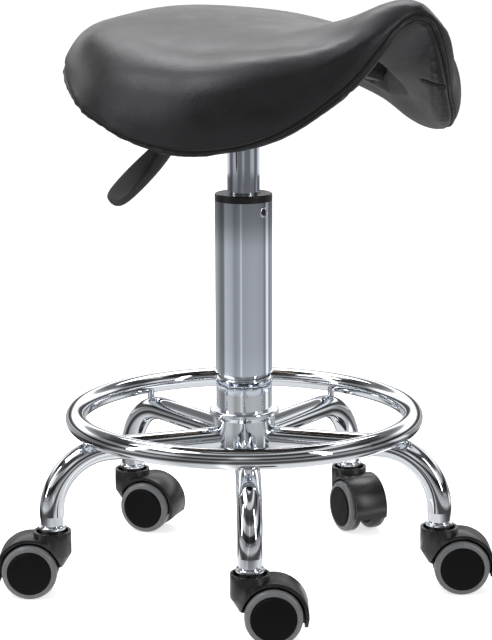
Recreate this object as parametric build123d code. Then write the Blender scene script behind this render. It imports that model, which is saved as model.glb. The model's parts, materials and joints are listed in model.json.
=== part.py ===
# Rolling saddle stool: five-leg chrome base with a foot ring and twin-wheel casters,
# gas-lift column, release lever and an upholstered saddle seat.
# Millimetres, +Z up. The origin is on the floor under the column axis, and the
# seat's front points along +X, so the sitter's right hand is at -Y.
import os
from math import cos, radians, sin, sqrt

from build123d import *

os.makedirs("parts", exist_ok=True)

# Clearances
run_fit = 0.05
press_fit = 0.02
slip_fit = 0.1
arm_gap = 0.3
wheel_side_gap = 0.5
tread_gap = 2.2

# Casters
wheel_radius = 24.0
tread_depth = 4.8
wheel_width = 14.0
tread_round = 4.0
disc_recess = 0.9
disc_rim = 2.2
web_width = 12.0
trail = 19.0
axle_radius = 3.0
axle_end_wall = 3.0
fender_wall = 2.8
fender_drop = 3.0
cup_radius = 16.4
cup_wall = 2.4
cup_depth = 5.0
cup_rise = 4.0
cup_straight = 20.0
cup_slant = 12.0
cup_foot_radius = 9.0
stem_radius = 5.0
stem_in_hood = 14.0
stem_in_leg = 15.0

# Legs and foot ring
leg_count = 5
base_turn = -40.8
caster_turns = [47.8, 47.8, -17.2, 26.8, 227.8]
leg_end_radius = 176.5
leg_bend = 52.0
leg_straight = 2.6161
leg_tube = 21.0
leg_wall = 1.5
leg_swage_length = 9.0
leg_swage_tube = 19.0
ferrule_radius = 12.0
ferrule_height = 4.0
ferrule_gap = 0.8
ferrule_round = 1.4
ring_radius = 148.5
ring_tube = 18.0
post_radius = 3.2
post_gap = 4.0
post_inset = 5.0

# Hub and column
hub_wall = 2.4
hub_collar = 15.5839
hub_skirt = 11.0
hub_lip_height = 8.0
hub_lip_reach = 3.6
hub_neck = 22.2
stand_wall = 2.4
stand_step = 1.6
stand_floor = 5.0
bead_height = 7.0
bead_reach = 2.0
bead_groove = 4.1
cover_length = 151.5
cover_wall = 1.9
cover_screw_radius = 2.4
cover_screw_head = 0.9
cover_screw_drop = 8.0
cover_screw_turn = 42.6
cap_height = 6.3
cap_spigot = 8.0
cap_round = 1.2

# Gas spring
cylinder_radius = 14.0
cylinder_wall = 2.0
cylinder_show = 77.4
cylinder_floor_gap = 3.0839
cylinder_taper_length = 24.0
cylinder_taper = 1.0
gland_height = 9.0
valve_head = 14.0
lift_travel = 120.0
rod_radius = 5.0
tail_radius = 4.0
piston_gap = 0.4
piston_height = 10.0
piston_margin = 6.0
bearing_radius = 15.0
bearing_height = 8.0
clip_radius = 9.0
clip_height = 2.0
bush_height = 78.0
bush_wall = 6.45
button_radius = 4.0
button_rise = 6.0
button_travel = 3.0
button_depth = 9.0

# Lift mechanism and lever
socket_wall = 4.98
socket_drop = 26.0
housing_radius = 30.0
housing_wall = 3.0
housing_drop = 30.0
plate_length = 150.0
plate_width = 130.0
plate_thick = 3.0
plate_corner = 14.0
plate_gap = 19.0
bolt_span_x = 110.0
bolt_span_y = 92.0
bolt_radius = 3.0
bolt_head_radius = 5.5
bolt_head_height = 3.5
bolt_point_gap = 2.0
pin_radius = 2.5
pin_offset = 18.0
pin_rise = 10.0
eye_radius = 6.0
eye_width = 10.0
arm_height = 4.5
arm_width = 8.0
arm_reach = 3.0
lever_radius = 4.2
lever_slope = 38.0
lever_elbow = 20.0
slot_gap = 1.5
lever_reach = 131.0
paddle_start = 60.0
paddle_neck_radius = 7.0
paddle_end_radius = 11.5
paddle_thick = 11.0
paddle_round = 3.5
paddle_tip = 3.0

# Seat
board_front = 80.0
board_back = 100.0
board_half_width = 75.0
board_corner = 30.0
board_thick = 12.0
pocket_gap = 0.3

# Saddle stations from nose to tail: distance in front of the column, half width and
# height at the rim, bulge of the side, half width and height of the shoulder, height of
# the crown, then the flap's inner edge and the underside's arch. Heights are above the
# underside of the seat board.
stations = [
    # s, rim_y, rim_z, bulge, shoulder_y, shoulder_z, crown_z, inner_y, inner_z, arch_y, arch_z, under_z
    (204.0, 13.0, 51.0, 0.22, 9.0, 59.5, 63.0, 6.0, 52.0, 3.0, 53.3, 53.8),
    (197.0, 33.0, 32.0, 0.28, 23.0, 57.5, 69.0, 17.0, 40.0, 8.5, 49.0, 52.0),
    (183.0, 55.5, 7.5, 0.29, 40.0, 49.0, 70.0, 31.0, 26.0, 17.0, 40.0, 46.0),
    (152.0, 96.5, -25.5, 0.35, 61.5, 37.0, 61.0, 60.0, 1.0, 36.0, 23.0, 32.0),
    (108.0, 137.0, -42.5, 0.35, 87.0, 30.5, 50.0, 98.0, -15.0, 62.0, 5.0, 15.0),
    (58.0, 160.0, -40.5, 0.29, 108.0, 31.0, 47.0, 124.0, -18.0, 84.0, -2.0, 4.0),
    (0.0, 171.0, -18.5, 0.2, 118.0, 39.0, 53.0, 136.0, -6.0, 92.0, -1.0, 1.0),
    (-58.0, 148.0, 1.0, 0.12, 102.0, 45.5, 59.5, 114.0, 6.0, 76.0, 4.0, 2.0),
    (-108.0, 106.0, 9.0, 0.06, 73.0, 39.5, 54.0, 76.0, 12.0, 46.0, 10.0, 8.5),
    (-141.0, 60.0, 13.0, 0.06, 40.0, 28.0, 36.0, 37.0, 14.8, 22.0, 14.4, 14.0),
    (-157.0, 20.0, 15.0, 0.08, 13.0, 21.0, 23.5, 12.0, 15.4, 6.0, 15.2, 15.0),
]
underside_bow = 0.05
roll_bow = 0.2


# Radii that follow from the sizes above
fender_bore = wheel_radius + tread_gap
fender_radius = fender_bore + fender_wall
wheel_inner = web_width / 2 + wheel_side_gap
wheel_outer = wheel_inner + wheel_width
rim_radius = wheel_radius - tread_depth
leg_bore = leg_tube / 2 - leg_wall
stand_bore = cylinder_radius + run_fit + bush_wall + slip_fit
stand_neck = stand_bore + stand_wall
stand_radius = stand_neck + stand_step
bead_radius = stand_neck + bead_reach
cover_radius = stand_neck + slip_fit + cover_wall
hub_bore = stand_radius + slip_fit
hub_radius = hub_bore + hub_wall
gas_bore = cylinder_radius - cylinder_wall
piston_radius = gas_bore - piston_gap
cylinder_tip_radius = cylinder_radius - cylinder_taper
socket_radius = cylinder_radius + press_fit + socket_wall

# Heights, stacked up from the floor
fender_cut = wheel_radius - fender_drop
cup_top = wheel_radius + fender_radius + cup_rise
ferrule_bottom = cup_top + ferrule_gap
leg_foot = ferrule_bottom + ferrule_height
swage_top = leg_foot + leg_swage_length
bend_height = swage_top + leg_straight
leg_height = bend_height + leg_bend
bend_reach = leg_end_radius - leg_bend
ring_span = leg_bend + leg_tube / 2 + ring_tube / 2 + post_gap
ring_height = bend_height + sqrt(ring_span**2 - (ring_radius - bend_reach) ** 2)
hub_bottom = leg_height - leg_tube / 2 - hub_skirt
hub_top = leg_height + leg_tube / 2 + hub_collar
stand_bottom = hub_bottom
bearing_bottom = stand_bottom + stand_floor
rod_bottom = bearing_bottom + bearing_height
bead_bottom = hub_top + hub_neck
bead_top = bead_bottom + bead_height
cover_bottom = bead_top + bead_groove
cover_top = cover_bottom + cover_length
cap_top = cover_top + cap_height
bush_top = cover_top - cap_spigot - slip_fit
cylinder_bottom = rod_bottom + cylinder_floor_gap
cylinder_top = cap_top + cylinder_show
piston_bottom = cylinder_bottom + lift_travel + gland_height + piston_margin
plate_bottom = cylinder_top + plate_gap
board_bottom = plate_bottom + plate_thick
board_top = board_bottom + board_thick
pin_height = cylinder_top + pin_rise
button_top = cylinder_top + button_rise


def save(shape, node):
    export_step(shape, f"parts/{node}.step")


def drum(radius, bottom, top):
    return Pos(0, 0, bottom) * Cylinder(radius, top - bottom, align=(Align.CENTER, Align.CENTER, Align.MIN))


def sleeve(outer, inner, bottom, top):
    return drum(outer, bottom, top) - drum(inner, bottom - 1, top + 1)


def side_drum(radius, near, far, x=0.0, z=0.0):
    low, high = min(near, far), max(near, far)
    return Pos(x, (low + high) / 2, z) * Rot(90, 0, 0) * Cylinder(radius, high - low)


def leg_angle(index):
    return base_turn + index * 360 / leg_count


def at_leg(index, shape):
    turn = radians(leg_angle(index))
    return Pos(leg_end_radius * cos(turn), leg_end_radius * sin(turn), 0) * shape


# Hub: a short tube with a rolled lip round its mouth
lip_low = hub_top - hub_lip_height
hub_profile = make_face(
    Polyline(
        (hub_bore, hub_bottom),
        (hub_radius, hub_bottom),
        (hub_radius, lip_low),
        (hub_radius + hub_lip_reach, lip_low + hub_lip_reach),
        (hub_radius + hub_lip_reach, hub_top),
        (hub_bore, hub_top),
        close=True,
    )
)
hub_profile = Plane.XZ * hub_profile
hub = revolve(hub_profile, Axis.Z)
lip_edges = hub.edges().filter_by(GeomType.CIRCLE).filter_by(
    lambda e: e.radius > hub_radius + hub_lip_reach / 2
)
hub = fillet(lip_edges, hub_lip_reach * 0.45)
save(hub, "hub")

# Legs: tubes that run level out of the hub, bend down and are swaged at the foot
def leg_solid(radius, foot_radius, end):
    level = Pos(bend_reach / 2, 0, leg_height) * Rot(0, 90, 0) * Cylinder(radius, bend_reach)
    ring = Pos(bend_reach, 0, bend_height) * Rot(90, 0, 0) * Torus(leg_bend, radius)
    window = Pos(bend_reach, 0, bend_height) * Box(
        leg_bend * 2, leg_tube * 2, leg_bend * 2, align=(Align.MIN, Align.CENTER, Align.MIN)
    )
    straight = Pos(leg_end_radius, 0, 0) * drum(radius, swage_top, bend_height)
    swage = Pos(leg_end_radius, 0, end) * Cone(
        foot_radius, radius, swage_top - end, align=(Align.CENTER, Align.CENTER, Align.MIN)
    )
    return level + (ring & window) + straight + swage


swage_bore = leg_swage_tube / 2 - leg_wall
leg = leg_solid(leg_tube / 2, leg_swage_tube / 2, leg_foot)
leg = leg - leg_solid(leg_bore, swage_bore, leg_foot)
leg = leg - drum(hub_radius + slip_fit, 0, hub_top)
for k in range(leg_count):
    save(Rot(0, 0, leg_angle(k)) * leg, f"leg_{k + 1}")

# Foot ring: a tube hoop that rests on the shoulders of the legs
foot_ring = Pos(0, 0, ring_height) * Torus(ring_radius, ring_tube / 2)
save(foot_ring, "foot_ring")

# Posts: short studs that stand on the legs and carry the ring's inner underside
post_reach = ring_radius - post_inset
post = Pos(post_reach, 0, 0) * drum(post_radius, leg_height - leg_tube / 2, ring_height)
post = post - Pos(0, 0, ring_height) * Torus(ring_radius, ring_tube / 2 + press_fit)
post = post - leg_solid(leg_tube / 2 + press_fit, leg_swage_tube / 2, leg_foot)
posts = Compound([Rot(0, 0, leg_angle(k)) * post for k in range(leg_count)])
save(posts, "ring_posts")

# Ferrules in the feet of the legs, and the caster stems that they grip
spigot_radius = swage_bore - press_fit
ferrule = drum(ferrule_radius, ferrule_bottom, leg_foot)
ferrule = fillet(ferrule.edges().filter_by(GeomType.CIRCLE), ferrule_round)
ferrule = ferrule + drum(spigot_radius, leg_foot - ferrule_round, leg_foot + stem_in_leg)
ferrule = ferrule - drum(stem_radius + press_fit, ferrule_bottom - 1, leg_foot + stem_in_leg + 1)
ferrules = Compound([at_leg(k, ferrule) for k in range(leg_count)])
save(ferrules, "leg_ferrules")

cup_floor = cup_top - cup_depth
stem_bottom = cup_floor - stem_in_hood
stem = drum(stem_radius, stem_bottom, leg_foot + stem_in_leg)
stem = chamfer(stem.edges().filter_by(GeomType.CIRCLE), stem_radius * 0.2)
stems = Compound([at_leg(k, stem) for k in range(leg_count)])
save(stems, "caster_stems")

# Caster hood: a fender over both wheels, a web between them and a cup round the stem
fender = side_drum(fender_radius, -wheel_outer, wheel_outer, trail, wheel_radius)
below = Pos(trail, 0, fender_cut) * Box(
    fender_radius * 3, wheel_outer * 3, fender_radius * 2, align=(Align.CENTER, Align.CENTER, Align.MAX)
)
cup_low = cup_top - cup_straight
cup = drum(cup_radius, cup_low, cup_top)
cup = cup + Pos(0, 0, cup_low - cup_slant) * Cone(
    cup_foot_radius, cup_radius, cup_slant, align=(Align.CENTER, Align.CENTER, Align.MIN)
)
ahead = Pos(0, 0, wheel_radius) * Box(
    fender_radius * 2, wheel_outer * 3, fender_radius * 4, align=(Align.MAX, Align.CENTER, Align.CENTER)
)
hood = fender - below - ahead + cup
for side in (-1, 1):
    hood = hood - side_drum(fender_bore, side * web_width / 2, side * wheel_outer * 2, trail, wheel_radius)
hood = hood - drum(cup_radius - cup_wall, cup_floor, cup_top + fender_radius)
hood = hood - drum(stem_radius + run_fit, stem_bottom - run_fit, cup_top)
hood = hood - side_drum(axle_radius + press_fit, -wheel_outer, wheel_outer, trail, wheel_radius)

# Axle, wheels and treads
axle_reach = wheel_outer - axle_end_wall
axle = side_drum(axle_radius, -axle_reach, axle_reach, trail, wheel_radius)

disc_radius = rim_radius - disc_rim
wheel_profile = make_face(
    Polyline(
        (axle_radius + run_fit, wheel_inner),
        (rim_radius, wheel_inner),
        (rim_radius, wheel_outer - disc_recess),
        (disc_radius + disc_recess, wheel_outer - disc_recess),
        (disc_radius, wheel_outer),
        (0, wheel_outer),
        (0, axle_reach + run_fit),
        (axle_radius + run_fit, axle_reach + run_fit),
        close=True,
    )
)
wheel = Rot(-90, 0, 0) * revolve(Plane.XZ * wheel_profile, Axis.Z)
tread = sleeve(wheel_radius, rim_radius + press_fit, wheel_inner, wheel_outer - disc_recess)
tread_edges = tread.edges().filter_by(GeomType.CIRCLE).filter_by(lambda e: e.radius > wheel_radius - 0.1)
tread = Rot(-90, 0, 0) * fillet(tread_edges, tread_round)
axle_place = Pos(trail, 0, wheel_radius)
for k in range(leg_count):
    turn = Rot(0, 0, caster_turns[k])
    save(at_leg(k, turn * hood), f"caster_{k + 1}_hood")
    save(at_leg(k, turn * axle), f"caster_{k + 1}_axle")
    for name, flip in (("left", 0), ("right", 180)):
        spot = turn * axle_place * Rot(0, 0, flip)
        save(at_leg(k, spot * wheel), f"caster_{k + 1}_wheel_{name}")
        save(at_leg(k, spot * tread), f"caster_{k + 1}_tread_{name}")

# Stand tube: stepped, with a bead below the cover and a floor for the bearing
stand = drum(stand_radius, stand_bottom, bead_bottom)
stand = stand + drum(stand_neck, bead_bottom, cover_top)
bead = drum(bead_radius, bead_bottom, bead_top)
stand = stand + fillet(bead.edges().filter_by(GeomType.CIRCLE), bead_height * 0.3)
stand = stand - drum(stand_bore, bearing_bottom, cover_top + 1)
stand = stand - drum(tail_radius + slip_fit, stand_bottom - 1, bearing_bottom + 1)
save(stand, "stand_tube")

# Chrome cover over the stand tube, with its dimpled screw, and the black cap
screw_place = (
    Rot(0, 0, base_turn + cover_screw_turn)
    * Pos(cover_radius, 0, cover_top - cover_screw_drop)
    * Rot(0, 90, 0)
)
cover = sleeve(cover_radius, stand_neck + slip_fit, cover_bottom, cover_top)
cover = cover - screw_place * Cylinder(cover_screw_radius + slip_fit, cover_radius / 2)
save(cover, "column_cover")
screw = screw_place * Pos(0, 0, cover_screw_head - cover_radius + stand_neck) * Cylinder(
    cover_screw_radius, cover_radius - stand_neck - slip_fit, align=(Align.CENTER, Align.CENTER, Align.MIN)
)
save(screw, "cover_screw")
cap = drum(cover_radius, cover_top, cap_top)
cap = fillet(cap.edges().group_by(Axis.Z)[-1], cap_round)
cap = cap + drum(stand_bore - slip_fit, cover_top - cap_spigot, cover_top + cap_height / 2)
cap_bore = cylinder_radius + slip_fit * 4
cap = cap - drum(cap_bore, cover_top - cap_spigot - 1, cap_top + 1)
save(cap, "top_cap")
bush = sleeve(stand_bore - slip_fit, cylinder_radius + run_fit, bush_top - bush_height, bush_top)
save(bush, "guide_bush")

# Thrust bearing, gas spring rod with its piston, and the clip under the floor
bearing = sleeve(bearing_radius, tail_radius + slip_fit, bearing_bottom, rod_bottom)
race_edges = bearing.edges().filter_by(GeomType.CIRCLE)
bearing = chamfer(race_edges, bearing_height * 0.1)
save(bearing, "thrust_bearing")
tail_bottom = stand_bottom - clip_height * 2
rod = drum(rod_radius, rod_bottom, piston_bottom)
rod = rod + drum(tail_radius, tail_bottom, rod_bottom)
rod = rod + drum(piston_radius, piston_bottom, piston_bottom + piston_height)
save(rod, "piston_rod")
clip = sleeve(clip_radius, tail_radius + press_fit, stand_bottom - clip_height - slip_fit, stand_bottom - slip_fit)
clip = clip - Pos(clip_radius, 0, stand_bottom) * Box(clip_radius * 2, tail_radius, clip_height * 4)
save(clip, "retaining_clip")

# Gas cylinder: tapered at the top, with a gland at the bottom and the valve's bore
taper_bottom = cylinder_top - cylinder_taper_length
cylinder = drum(cylinder_radius, cylinder_bottom, taper_bottom)
cylinder = cylinder + Pos(0, 0, taper_bottom) * Cone(
    cylinder_radius, cylinder_tip_radius, cylinder_taper_length, align=(Align.CENTER, Align.CENTER, Align.MIN)
)
cylinder = cylinder - drum(gas_bore, cylinder_bottom + gland_height, cylinder_top - valve_head)
cylinder = cylinder - drum(rod_radius + run_fit, cylinder_bottom - 1, cylinder_bottom + gland_height + 1)
cylinder = cylinder - drum(button_radius + run_fit, cylinder_top - button_depth - button_travel, cylinder_top + 1)
save(cylinder, "gas_cylinder")
button = drum(button_radius, cylinder_top - button_depth + slip_fit, button_top)
button = fillet(button.edges().group_by(Axis.Z)[-1], button_radius * 0.25)
save(button, "valve_button")

# Lift mechanism: tapered socket, round housing and bolting plate
socket_bottom = cylinder_top - socket_drop
housing_bottom = plate_bottom - housing_drop
mechanism = drum(socket_radius, socket_bottom, cylinder_top)
mechanism = mechanism + drum(housing_radius, housing_bottom, plate_bottom)
plate = RectangleRounded(plate_length, plate_width, plate_corner)
mechanism = mechanism + Pos(0, 0, plate_bottom) * extrude(plate, plate_thick)
mechanism = mechanism - sleeve(
    housing_radius - housing_wall, socket_radius, housing_bottom + housing_wall, plate_bottom
)
mechanism = mechanism - drum(housing_radius - housing_wall, cylinder_top, plate_bottom)
mechanism = mechanism - Pos(0, 0, taper_bottom) * Cone(
    cylinder_radius + press_fit,
    cylinder_tip_radius + press_fit,
    cylinder_taper_length,
    align=(Align.CENTER, Align.CENTER, Align.MIN),
)
mechanism = mechanism - drum(cylinder_radius + press_fit, socket_bottom - 1, taper_bottom)
slot = Pos(0, -housing_radius, housing_bottom + housing_wall) * Box(
    eye_width + slot_gap * 2, housing_radius, plate_bottom - housing_bottom - housing_wall,
    align=(Align.CENTER, Align.CENTER, Align.MIN),
)
mechanism = mechanism - slot
pin_spot = Pos(0, -pin_offset, pin_height) * Rot(0, 90, 0)
mechanism = mechanism - pin_spot * Cylinder(pin_radius + press_fit, housing_radius * 2)
bolt_spots = GridLocations(bolt_span_x, bolt_span_y, 2, 2).locations
for spot in bolt_spots:
    mechanism = mechanism - spot * drum(bolt_radius + slip_fit, plate_bottom - 1, board_bottom + 1)
save(mechanism, "lift_mechanism")

# Pivot pin, lever and its moulded paddle
pin_half = sqrt(housing_radius**2 - pin_offset**2)
pin = pin_spot * Cylinder(pin_radius, pin_half * 2)
save(pin, "lever_pin")
arm_bottom = button_top - pin_height
lever = Rot(0, 90, 0) * Cylinder(eye_radius, eye_width)
arm_length = pin_offset + arm_reach
lever = lever + Pos(0, 0, arm_bottom + arm_gap) * Box(
    arm_width, arm_length, arm_height, align=(Align.CENTER, Align.MIN, Align.MIN)
)
lever = lever + side_drum(lever_radius, -lever_elbow, 0)
elbow = Pos(0, -lever_elbow, 0)
lever = lever + elbow * Sphere(lever_radius)
lever = lever + elbow * Rot(lever_slope, 0, 0) * side_drum(lever_radius, -lever_reach, 0)
lever = lever - Rot(0, 90, 0) * Cylinder(pin_radius + run_fit, eye_width * 2)
pivot = Pos(0, -pin_offset, pin_height)
save(pivot * lever, "lever_rod")
paddle_end = lever_reach + paddle_tip
outline = make_hull(
    [
        *(Pos(0, paddle_start + paddle_neck_radius) * Circle(paddle_neck_radius)).edges(),
        *(Pos(0, paddle_end - paddle_end_radius) * Circle(paddle_end_radius)).edges(),
    ]
)
paddle = extrude(outline, paddle_thick / 2, both=True)
paddle = fillet(paddle.edges(), paddle_round)
paddle = paddle - Rot(-90, 0, 0) * Cylinder(
    lever_radius + press_fit, lever_reach + press_fit, align=(Align.CENTER, Align.CENTER, Align.MIN)
)
paddle = pivot * elbow * Rot(lever_slope, 0, 0) * Rot(0, 0, 180) * paddle
save(paddle, "lever_paddle")

# Seat board in the cushion's pocket, and its bolts
board_plan = Pos((board_front - board_back) / 2, 0) * RectangleRounded(
    board_front + board_back, board_half_width * 2, board_corner
)
board = Pos(0, 0, board_bottom) * extrude(board_plan, board_thick)
bolt_tip = board_top - bolt_point_gap
for spot in bolt_spots:
    board = board - spot * drum(bolt_radius + press_fit, board_bottom - 1, bolt_tip + slip_fit)
save(board, "seat_board")
bolt = drum(bolt_radius, plate_bottom, bolt_tip) + drum(
    bolt_head_radius, plate_bottom - bolt_head_height, plate_bottom
)
bolts = Compound([spot * bolt for spot in bolt_spots])
save(bolts, "seat_bolts")


# Saddle cushion: crowned top, sides drawn in at the rim and an arched underside
def bowed(start, end, share):
    dy, dz = end[0] - start[0], end[1] - start[1]
    mid = ((start[0] + end[0]) / 2 - dz * share, (start[1] + end[1]) / 2 + dy * share)
    return mid


def saddle_section(row):
    s, rim_y, rim_z, bulge, sh_y, sh_z, crown, in_y, in_z, arch_y, arch_z, under = row
    rim = (rim_y, rim_z)
    shoulder = (sh_y, sh_z)
    inner = (in_y, in_z)
    arch = (arch_y, arch_z)
    out = bowed(rim, shoulder, -bulge)
    tuck = bowed(inner, arch, -underside_bow)
    roll = bowed(rim, inner, roll_bow)

    def flip(p):
        return (-p[0], p[1])

    wire = Wire(
        [
            ThreePointArc(rim, out, shoulder),
            ThreePointArc(shoulder, (0, crown), flip(shoulder)),
            ThreePointArc(flip(shoulder), flip(out), flip(rim)),
            ThreePointArc(flip(rim), flip(roll), flip(inner)),
            ThreePointArc(flip(inner), flip(tuck), flip(arch)),
            ThreePointArc(flip(arch), (0, under), arch),
            ThreePointArc(arch, tuck, inner),
            ThreePointArc(inner, roll, rim),
        ]
    )
    return Plane((s, 0, board_bottom), x_dir=(0, 1, 0), z_dir=(1, 0, 0)) * Face(wire)


cushion = loft([saddle_section(row) for row in stations])
pocket_plan = offset(board_plan, pocket_gap)
pocket_depth = board_thick + plate_length
cushion = cushion - Pos(0, 0, board_top + pocket_gap) * extrude(pocket_plan, -pocket_depth)
save(cushion, "seat_cushion")
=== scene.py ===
import json
import math

import bpy
from mathutils import Matrix, Vector
from mathutils.bvhtree import BVHTree
from mathutils.kdtree import KDTree


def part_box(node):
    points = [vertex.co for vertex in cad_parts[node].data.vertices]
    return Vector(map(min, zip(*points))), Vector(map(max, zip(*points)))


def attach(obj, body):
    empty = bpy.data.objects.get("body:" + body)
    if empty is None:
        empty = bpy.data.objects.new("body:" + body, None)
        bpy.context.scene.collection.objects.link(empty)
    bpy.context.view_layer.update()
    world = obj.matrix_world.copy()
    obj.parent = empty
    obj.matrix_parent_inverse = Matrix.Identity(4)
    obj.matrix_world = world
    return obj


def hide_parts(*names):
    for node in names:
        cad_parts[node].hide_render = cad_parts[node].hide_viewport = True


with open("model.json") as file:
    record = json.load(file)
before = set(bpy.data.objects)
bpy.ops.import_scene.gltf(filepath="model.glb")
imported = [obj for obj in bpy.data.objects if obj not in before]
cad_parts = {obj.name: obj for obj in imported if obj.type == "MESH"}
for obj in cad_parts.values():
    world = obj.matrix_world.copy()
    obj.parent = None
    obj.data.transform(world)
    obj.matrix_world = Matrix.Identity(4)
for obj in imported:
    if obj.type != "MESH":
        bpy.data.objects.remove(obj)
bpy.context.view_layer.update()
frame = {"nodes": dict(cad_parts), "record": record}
nodes = frame["nodes"]
print("frame loaded:", len(nodes), "nodes")

# units, and the settings of the helpers
mm, perMetre = 0.001, 1000
kit = {"mergeGap": 0.00002, "leastWeight": 0.001, "pathSteps": 24, "bevelSteps": 2}


# selection and editing
def deselectAll():
    if bpy.context.object and bpy.context.object.mode != "OBJECT":
        bpy.ops.object.mode_set(mode="OBJECT")
    bpy.ops.object.select_all(action="DESELECT")


def makeActive(obj):
    deselectAll()
    obj.select_set(True)
    bpy.context.view_layer.objects.active = obj


def editAll(obj):
    makeActive(obj)
    bpy.ops.object.mode_set(mode="EDIT")
    bpy.ops.mesh.select_all(action="SELECT")


def leaveEdit():
    bpy.ops.object.mode_set(mode="OBJECT")


def copyOfNode(nodeName, pieceName):
    piece = bpy.data.objects.new(pieceName, nodes[nodeName].data.copy())
    bpy.context.scene.collection.objects.link(piece)
    piece.data.materials.clear()
    editAll(piece)
    bpy.ops.mesh.remove_doubles(threshold=kit["mergeGap"])
    bpy.ops.mesh.customdata_custom_splitnormals_clear()
    leaveEdit()
    return piece


def nodeMiddle(nodeName):
    low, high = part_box(nodeName)
    return (Vector(low) + Vector(high)) / 2


def applyAll(obj):
    makeActive(obj)
    for mod in list(obj.modifiers):
        bpy.ops.object.modifier_apply(modifier=mod.name)


def subdivideOnce(obj):
    finer = obj.modifiers.new("finer", "SUBSURF")
    finer.levels = 1
    applyAll(obj)


def bevelEdges(obj, width, angle):
    bevel = obj.modifiers.new("roundEdges", "BEVEL")
    bevel.width = width
    bevel.segments = kit["bevelSteps"]
    bevel.limit_method = "ANGLE"
    bevel.angle_limit = math.radians(angle)
    applyAll(obj)


def shadeByAngle(obj, angle):
    makeActive(obj)
    bpy.ops.object.shade_smooth_by_angle(angle=math.radians(angle))


def pickVertices(obj, test):
    makeActive(obj)
    bpy.ops.object.mode_set(mode="EDIT")
    bpy.ops.mesh.select_mode(type="VERT")
    bpy.ops.mesh.select_all(action="DESELECT")
    leaveEdit()
    for v in obj.data.vertices:
        v.select = test(v)
    bpy.ops.object.mode_set(mode="EDIT")


def smoothPicked(obj, test, rounds):
    pickVertices(obj, test)
    bpy.ops.mesh.vertices_smooth(factor=0.5, repeat=rounds)
    leaveEdit()


def smoothMesh(obj, rounds, share):
    editAll(obj)
    bpy.ops.mesh.vertices_smooth(factor=share, repeat=rounds)
    leaveEdit()


def weightGroup(obj, name, weights):
    group = obj.vertex_groups.new(name=name)
    for index, weight in enumerate(weights):
        if weight > kit["leastWeight"]:
            group.add([index], weight, "REPLACE")


def pushOut(obj, name, weights, distance):
    weightGroup(obj, name, weights)
    push = obj.modifiers.new(name, "DISPLACE")
    push.strength = distance
    push.mid_level = 0.0
    push.vertex_group = name
    applyAll(obj)


# points and curves
def meshTree(obj):
    return BVHTree.FromObject(obj, bpy.context.evaluated_depsgraph_get())


def pointTree(points):
    tree = KDTree(len(points))
    for index, point in enumerate(points):
        tree.insert(point, index)
    tree.balance()
    return tree


def rise(gap, width):
    share = max(0.0, min(1.0, gap / width))
    return share * share * (3 - 2 * share)


def windowSum(values, at, wide, start):
    return sum((values[(at + j) % len(values)] for j in range(-wide, wide + 1)), start)


def halfToLoop(half):
    mirrored = [Vector((p.x, -p.y, p.z)) for p in reversed(half)]
    return half + mirrored


def sewnPath(name, points, closed):
    curve = bpy.data.curves.new(name, "CURVE")
    curve.dimensions = "3D"
    curve.resolution_u = kit["pathSteps"]
    spline = curve.splines.new("BEZIER")
    spline.bezier_points.add(len(points) - 1)
    for knot, point in zip(spline.bezier_points, points):
        knot.co = point
        knot.handle_left_type = knot.handle_right_type = "AUTO"
    spline.use_cyclic_u = closed
    obj = bpy.data.objects.new(name, curve)
    bpy.context.scene.collection.objects.link(obj)
    return obj


def evenPoints(pathObj, step, closed):
    flat = bpy.data.meshes.new_from_object(pathObj.evaluated_get(bpy.context.evaluated_depsgraph_get()))
    raw = [v.co.copy() for v in flat.vertices]
    bpy.data.meshes.remove(flat)
    if closed:
        raw.append(raw[0])
    out, carry = [], 0.0
    for a, b in zip(raw, raw[1:]):
        length = (b - a).length
        at = step - carry
        while at <= length:
            out.append(a.lerp(b, at / length))
            at += step
        carry = (carry + length) % step
    return out


def alongPath(name, points, step, closed):
    path = sewnPath(name, points, closed)
    bpy.context.view_layer.update()
    spots = evenPoints(path, step, closed)
    bpy.data.objects.remove(path)
    return spots


# shader nodes
def setSockets(shader, values):
    for name, value in values.items():
        shader.inputs[name].default_value = value


def newMaterial(name):
    mat = bpy.data.materials.new(name)
    mat.use_nodes = True
    tree = mat.node_tree
    shader = tree.nodes["Principled BSDF"]
    return mat, tree, shader


def addNode(tree, kind, **settings):
    node = tree.nodes.new(kind)
    for name, value in settings.items():
        setattr(node, name, value)
    return node


def objectCoords(tree):
    return addNode(tree, "ShaderNodeTexCoord").outputs["Object"]


def noiseTexture(tree, coords, scale, detail=3.0, rough=0.5):
    noise = addNode(tree, "ShaderNodeTexNoise")
    setSockets(noise, {"Scale": scale, "Detail": detail, "Roughness": rough})
    tree.links.new(coords, noise.inputs["Vector"])
    return noise.outputs["Fac"]


def spread(tree, value, low, high, fromLow=0.3, fromHigh=0.7):
    ramp = addNode(tree, "ShaderNodeMapRange")
    setSockets(ramp, {"From Min": fromLow, "From Max": fromHigh, "To Min": low, "To Max": high})
    tree.links.new(value, ramp.inputs["Value"])
    return ramp.outputs["Result"]


def roughFrom(tree, shader, value, low, high):
    tree.links.new(spread(tree, value, low, high), shader.inputs["Roughness"])


def colourFrom(tree, shader, value, dark, light):
    mix = addNode(tree, "ShaderNodeMix", data_type="RGBA")
    mix.inputs["A"].default_value = (*dark, 1)
    mix.inputs["B"].default_value = (*light, 1)
    tree.links.new(value, mix.inputs["Factor"])
    tree.links.new(mix.outputs["Result"], shader.inputs["Base Color"])


def bumpFrom(tree, shader, value, depth, strength):
    bump = addNode(tree, "ShaderNodeBump")
    setSockets(bump, {"Strength": strength, "Distance": depth})
    tree.links.new(value, bump.inputs["Height"])
    tree.links.new(bump.outputs["Normal"], shader.inputs["Normal"])


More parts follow.
